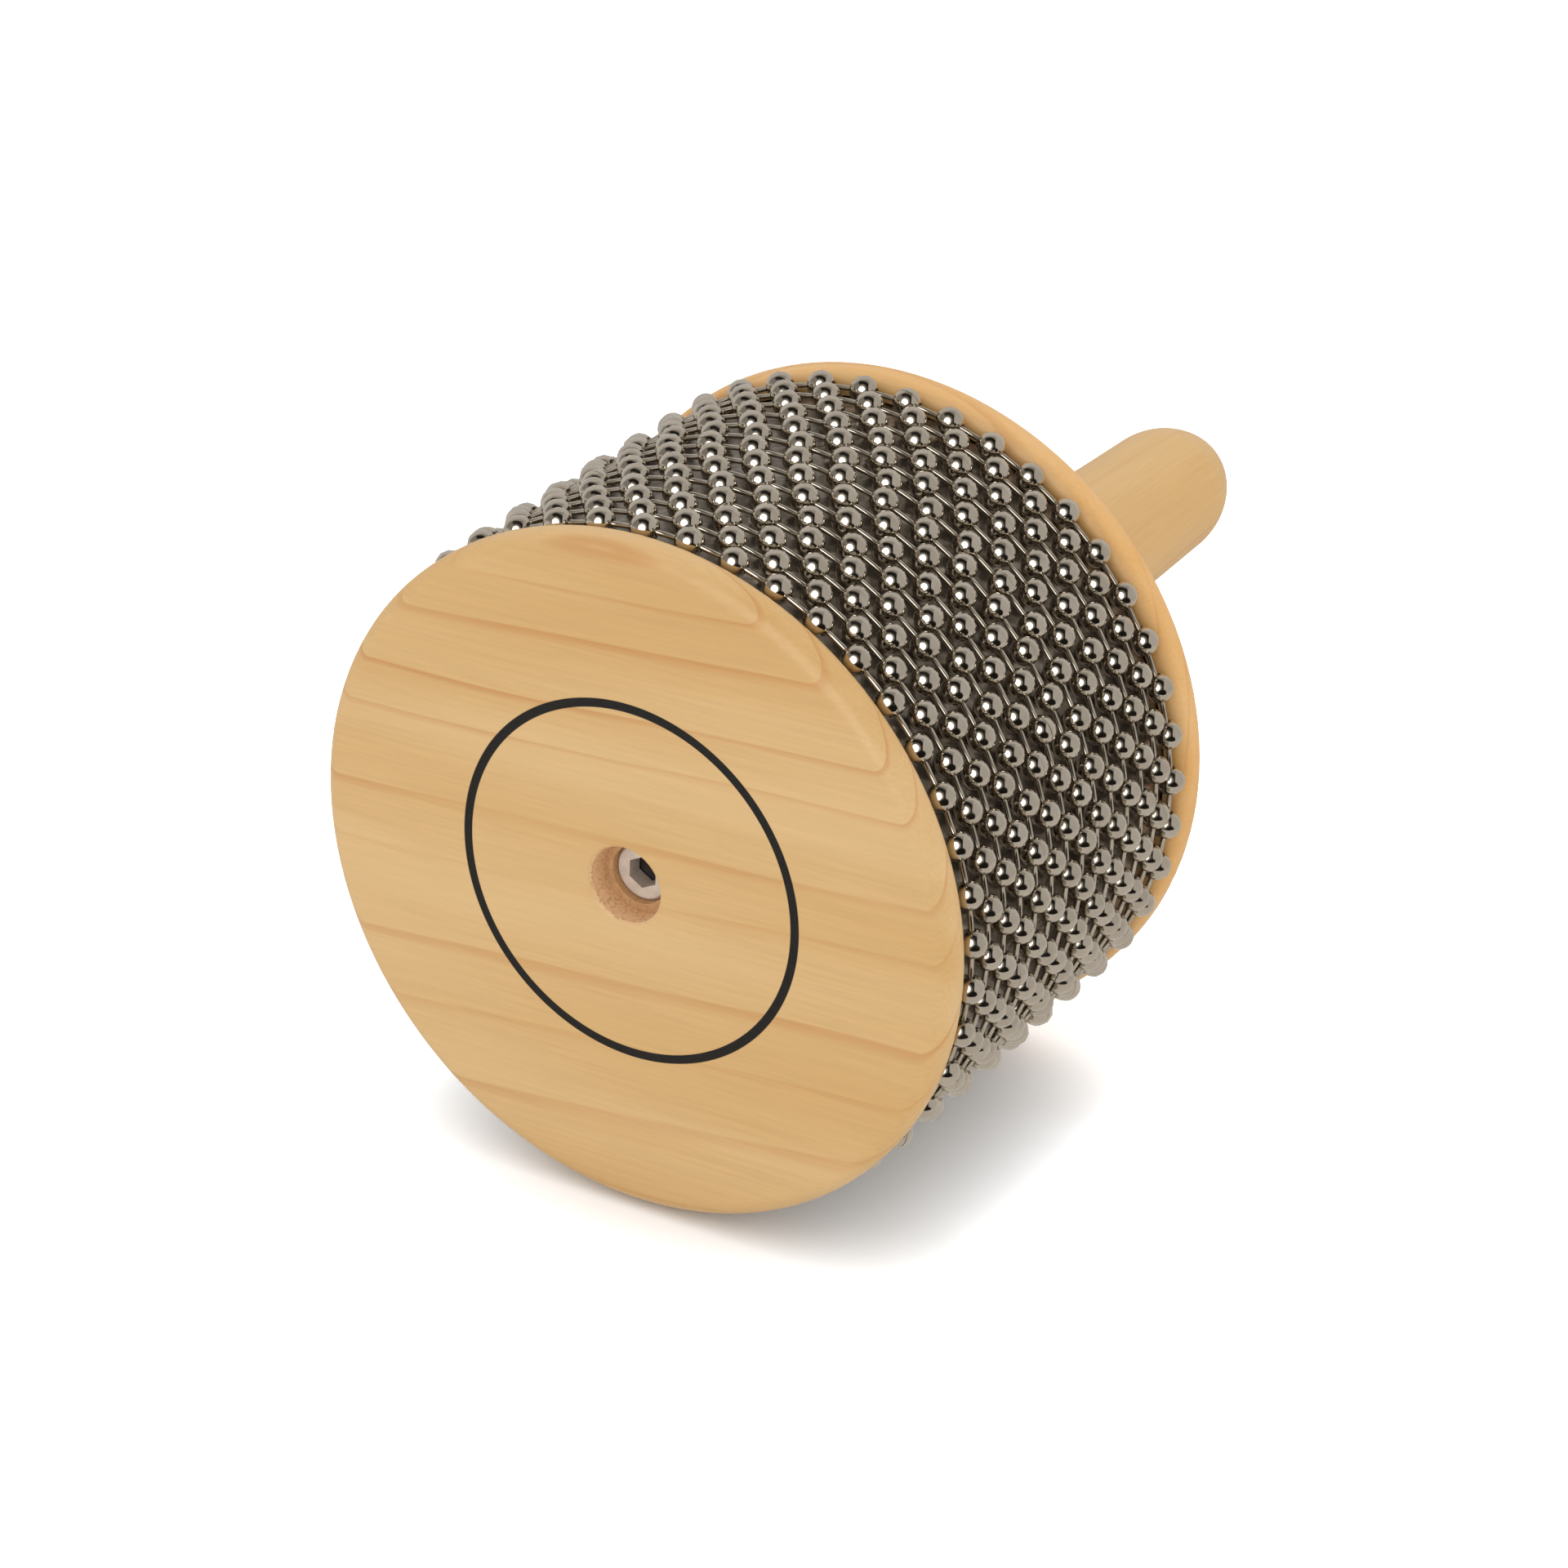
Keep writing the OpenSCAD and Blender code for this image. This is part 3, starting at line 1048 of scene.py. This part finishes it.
@dataclass
class DrumBody:
    """What the loops run on: the wooden core and the embossed steel sleeve round it.

    Attributes:
        emboss_mm: The length of one embossed wave, made of per_wave faces.
    """

    emboss_mm: float = 3.0
    emboss_depth_mm: float = 0.3
    wall_mm: float = 0.6
    per_wave: int = 4

    def build(self, axis_z: float, steel: bpy.types.Material, wood: bpy.types.Material) -> None:
        """Replaces the plain sleeve with an embossed one and dresses the core.

        Args:
            axis_z: The drum's axis above the floor, in metres.
            steel: The sleeve's material.
            wood: The core's material.
        """
        sleeve = self.sleeve(axis_z * PER_METRE)
        dress(sleeve, steel)
        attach(sleeve, "drum")
        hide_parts("textured_sleeve")
        dress(frame["nodes"]["drum_core"], wood)
        LOG.info("drum body: sleeve with %d faces", len(sleeve.data.polygons))

    def sleeve(self, axis_mm: float) -> bpy.types.Object:
        """A tube whose outside sinks by half the depth times one plus cos(a) cos(b).

        a and b count the embossed waves round the tube and along it.

        Args:
            axis_mm: The drum's axis above the floor, in millimetres.

        Returns:
            The piece.
        """
        low, high = (np.array(c) * PER_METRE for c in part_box("textured_sleeve"))
        outer = (high[0] - low[0]) / 2
        waves = round(FULL_TURN * outer / self.emboss_mm)
        lengths = round((high[1] - low[1]) / self.emboss_mm)
        cols, rows = waves * self.per_wave, lengths * self.per_wave + 1
        turn = np.arange(cols) * FULL_TURN / cols
        y = np.linspace(low[1], high[1], rows)
        a = waves * turn[None, :]
        b = FULL_TURN * lengths * (y[:, None] - low[1]) / (high[1] - low[1])
        radius = outer - self.emboss_depth_mm / 2 * (1 + np.cos(a) * np.cos(b))
        inner = np.full((1, cols), outer - self.wall_mm)
        radius = np.concatenate([inner, radius, inner])
        y = np.broadcast_to(np.concatenate([y[:1], y, y[-1:]])[:, None], radius.shape)
        points = np.stack([
            radius * np.cos(turn), y, axis_mm - radius * np.sin(turn)], axis=-1)
        r, c = np.meshgrid(np.arange(rows + 2), np.arange(cols), indexing="ij")
        below, after = (r + 1) % (rows + 2), (c + 1) % cols
        quads = np.stack([
            r * cols + c, r * cols + after, below * cols + after, below * cols + c], axis=-1)
        return make_piece("embossed_sleeve", points.reshape(-1, 3), [quads.reshape(-1, 4)])


class WoodenParts:
    """The two discs and the handle, whose CAD shapes stay and get their wood."""

    def build(self, face_y: float, axis_z: float) -> None:
        """Dresses the three pieces.

        Args:
            face_y: The front face's place along Y, in metres.
            axis_z: The drum's axis above the floor, in metres.
        """
        nodes = frame["nodes"]
        front = PrintedDiscWood(
            "lacquered_maple_front", Cut.ALONG_X, pith_mm=(165.0, -238.0), ring_mm=5.6)
        # The rear disc's wood is a warmer, more saturated copy of the front's: painted warm bounce
        # light in the drum's shade.
        rear = LacqueredWood(
            "lacquered_maple_rear", Cut.ALONG_X_FLAT, pith_mm=(90.0, 120.0), ring_mm=7.0,
            pale="#D3A870", tan="#CD9C5C")
        handle = LacqueredWood(
            "lacquered_maple_handle", Cut.ALONG_Y, pith_mm=(26.0, 40.0), ring_mm=5.0,
            warp_mm=4.0, line_share=0.3)
        dress(nodes["front_disc"], front.build_on(face_y, axis_z))
        dress(nodes["rear_disc"], rear.build())
        dress(nodes["handle"], handle.build())
        LOG.info("wooden parts dressed")


@dataclass
class Fastening:
    """The bolt, its lock washer and the threaded insert.

    Attributes:
        socket_mm: The depth of the bolt's hex socket. Painted shade fills its bottom,
            shade_rise_mm high.
    """

    socket_mm: float = 3.0
    shade_rise_mm: float = 0.2

    def build(self) -> None:
        """Dresses the three pieces. Painted shade darkens the bolt from just above its socket's
        floor.
        """
        nodes = frame["nodes"]
        low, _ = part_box("through_bolt")
        # painted_shade_from_mm paints shade into the bottom of the bolt's hex socket.
        zinc = Metal(
            "zinc_plated_steel", "#E3DAD0", "#D2C7BB", roughness=(0.42, 0.6), smear_mm=1.8,
            bump_mm=0.01, metallic=0.5,
            painted_shade_from_mm=low.y * PER_METRE + self.socket_mm - self.shade_rise_mm).build()
        brass = Metal(
            "turned_brass", "#C9A65C", "#B08D48", roughness=(0.22, 0.4), smear_mm=2.5).build()
        dress(nodes["through_bolt"], zinc)
        dress(nodes["lock_washer"], zinc)
        dress(nodes["threaded_insert"], brass)
        LOG.info("fastening dressed")


def main() -> None:
    """Builds the studio and every sub-assembly."""
    logging.basicConfig(level=logging.INFO, format="%(name)s: %(message)s")
    low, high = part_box("front_disc")
    face_centre = Vector(((low.x + high.x) / 2, low.y, (low.z + high.z) / 2))
    bpy.context.scene.view_settings.view_transform = "Standard"
    Studio().build(face_centre)
    WoodenParts().build(face_centre.y, face_centre.z)
    Fastening().build()
    steel = Metal(
        "embossed_stainless_steel", "#A69E94", "#857D73", roughness=(0.26, 0.4), smear_mm=6.0)
    DrumBody().build(face_centre.z, steel.build(), BareWood("drilled_beech").build())
    nickel = Metal("nickel_plate", "#D3CBBE", "#C6BDAF", roughness=(0.06, 0.14), smear_mm=4.0)
    wire = Metal(
        "nickel_plated_wire", "#D0C8BA", "#BDB3A4", roughness=(0.12, 0.22), smear_mm=1.5)
    BeadChain().build(nickel.build(), wire.build())


if __name__ == "__main__":
    main()
